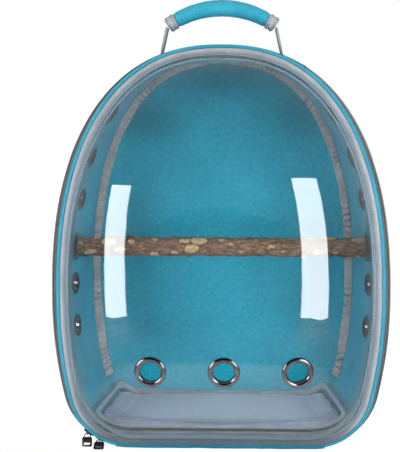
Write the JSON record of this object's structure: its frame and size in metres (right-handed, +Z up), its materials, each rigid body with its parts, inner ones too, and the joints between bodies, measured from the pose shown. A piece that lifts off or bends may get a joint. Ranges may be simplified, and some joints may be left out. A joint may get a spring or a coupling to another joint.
{
  "type": "bird travel carrier",
  "caption": "Arched fabric backpack carrier for a small bird, with a clear domed front door on a zip and fabric hinge, a branch perch, a lift-out floor mat and a top handle.",
  "frame": {"origin": "middle of the base's flat underside, on the surface that the carrier stands on", "axes": "+Z up, the clear door faces -Y, +X towards the right as seen from the front"},
  "size_m": [0.3468, 0.3179, 0.4595],
  "materials": {
    "teal_canvas": "matte woven",
    "dark_teal_canvas": "matte woven",
    "teal_piping": "smooth satin",
    "grey_binding": "gathered ribbed tape",
    "pale_binding": "satin ribbed tape",
    "zip_tape": "fine twill tape",
    "zip_coil": "moulded coil",
    "gunmetal": "plated, polished",
    "steel": "bright",
    "bark": "natural branch",
    "stiff_board": "smooth",
    "foam_mesh": "spacer mesh over foam",
    "webbing": "ribbed webbing",
    "grey_webbing": "ribbed webbing",
    "black_plastic": "moulded",
    "black_metal": "gloss enamel",
    "clear_shell": "clear, polished",
    "slate_fleece": "brushed flannel"
  },
  "bodies": {
    "shell": {"side_wall": "teal_canvas", "base_panel": "dark_teal_canvas", "base_board": "stiff_board", "back_panel": "teal_canvas", "back_piping": "teal_piping", "seam_binding_inner": "grey_binding", "front_lining": "grey_binding", "shell_zip_tape": "zip_tape", "shell_zip_coil": "zip_coil", "hinge_strip": "dark_teal_canvas", "side_eyelets_left": "gunmetal", "side_eyelets_right": "gunmetal", "side_washers_left": "gunmetal", "side_washers_right": "gunmetal", "perch": "bark", "perch_rods": "steel", "perch_inner_washers": "steel", "perch_outer_washers": "steel", "perch_nuts": "steel", "handle_patches": "grey_webbing", "back_pads": "foam_mesh", "strap_yoke": "dark_teal_canvas", "shoulder_strap_left": "foam_mesh", "shoulder_strap_right": "foam_mesh", "strap_web_left": "webbing", "strap_web_right": "webbing", "strap_buckles": "black_plastic", "strap_loops": "webbing", "strap_tabs": "dark_teal_canvas", "zip_slider_lower": "black_metal"},
    "door": {"dome": "clear_shell", "door_binding": "pale_binding", "door_piping": "teal_piping", "door_zip_tape": "zip_tape", "door_zip_coil": "zip_coil", "dome_eyelets": "gunmetal", "dome_washers": "gunmetal"},
    "handle": {"handle_webbing": "grey_webbing", "handle_grip": "teal_canvas", "handle_cuffs": "pale_binding"},
    "slider_upper": {"zip_slider_upper": "black_metal"},
    "pull_upper": {"zip_pull_upper": "black_metal"},
    "pull_lower": {"zip_pull_lower": "black_metal"},
    "mat": {"floor_mat": "slate_fleece", "mat_binding": "grey_binding"}
  },
  "joints": [
    {"name": "door_open", "type": "hinge", "parent": "shell", "child": "door", "pos_m": [0, -0.073, 0.00475], "axis": [1, 0, 0], "range_deg": [0, 110]},
    {"name": "handle_swing", "type": "hinge", "parent": "shell", "child": "handle", "pos_m": [0, -0.023, 0.41518], "axis": [1, 0, 0], "range_deg": [-65, 65]},
    {"name": "slider_travel", "type": "hinge", "parent": "shell", "child": "slider_upper", "pos_m": [-0.09803, -0.073, 0.0685], "axis": [0, 1, 0], "range_deg": [0, 33]},
    {"name": "pull_upper_swing", "type": "hinge", "parent": "slider_upper", "child": "pull_upper", "pos_m": [-0.1374, -0.073, 0.0148], "axis": [1, 0, 0], "range_deg": [-35, 60]},
    {"name": "pull_lower_swing", "type": "hinge", "parent": "shell", "child": "pull_lower", "pos_m": [-0.12452, -0.073, 0.00759], "axis": [1, 0, 0], "range_deg": [0, 80]},
    {"name": "mat_lift", "type": "slide", "parent": "shell", "child": "mat", "axis": [0, 0, 1], "range_m": [0, 0.06]}
  ]
}
